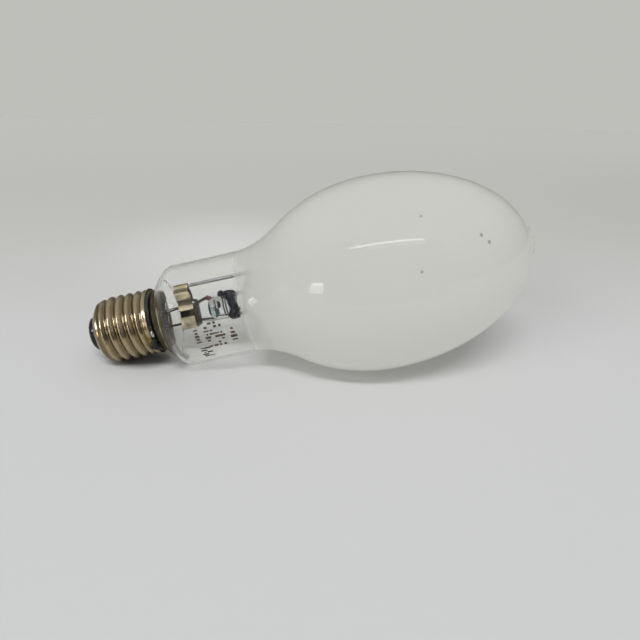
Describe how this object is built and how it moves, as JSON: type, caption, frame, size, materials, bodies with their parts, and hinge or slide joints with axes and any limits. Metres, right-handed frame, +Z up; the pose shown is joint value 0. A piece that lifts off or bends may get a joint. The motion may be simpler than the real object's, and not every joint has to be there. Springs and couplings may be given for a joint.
{
  "type": "blended light lamp",
  "caption": "Screw-cap discharge lamp with a coated elliptical bulb, a clear neck, and a ballast filament strung round an arc tube.",
  "frame": {"origin": "middle of the lying lamp's bounding box, on the surface that it rests on", "axes": "+X along the floor from the cap's end to the crown, +Z up, the viewer's side at -Y"},
  "size_m": [0.1728, 0.0754, 0.0777],
  "materials": {
    "coated_glass": "soft white inside coating under gloss glass, clear at the neck",
    "clear_glass": "clear gloss",
    "quartz": "clear gloss",
    "black_glass": "black gloss",
    "black_ceramic": "satin black",
    "cap_metal": "nickel-plated, warm and slightly tarnished",
    "nickel": "satin, warm",
    "dark_nickel": "dark oxidised",
    "steel": "satin grey",
    "copper": "dull copper",
    "tungsten": "matte dark grey",
    "solder": "bright soft solder",
    "cement": "dark brown-black cement"
  },
  "bodies": {
    "root": {"outer_bulb": "coated_glass", "screw_shell": "cap_metal", "cap_insulator": "black_glass", "contact_plate": "cap_metal", "centre_solder": "solder", "side_solder": "solder", "capping_cement": "cement", "stem_glass": "clear_glass", "side_lead": "copper", "centre_lead": "copper", "frame_lead": "nickel", "filament_lead": "nickel", "stem_strap": "nickel", "glass_bead": "clear_glass", "bead_ring": "dark_nickel", "lower_star": "black_ceramic", "upper_star": "black_ceramic", "lower_hook_1": "dark_nickel", "lower_hook_2": "dark_nickel", "lower_hook_3": "dark_nickel", "lower_hook_4": "dark_nickel", "upper_hook_1": "dark_nickel", "upper_hook_2": "dark_nickel", "upper_hook_3": "dark_nickel", "filament": "tungsten", "frame_rod": "steel", "crown_spring": "steel", "arc_tube": "quartz", "lower_foil": "steel", "starter_foil": "steel", "upper_foil": "steel", "lower_electrode": "tungsten", "upper_electrode": "tungsten", "starting_electrode": "tungsten", "lower_electrode_lead": "nickel", "upper_electrode_lead": "nickel", "starter_lead": "nickel", "resistor_lead": "nickel", "starting_resistor": "black_ceramic", "lower_clip": "steel", "upper_clip": "steel"}
  },
  "joints": []
}
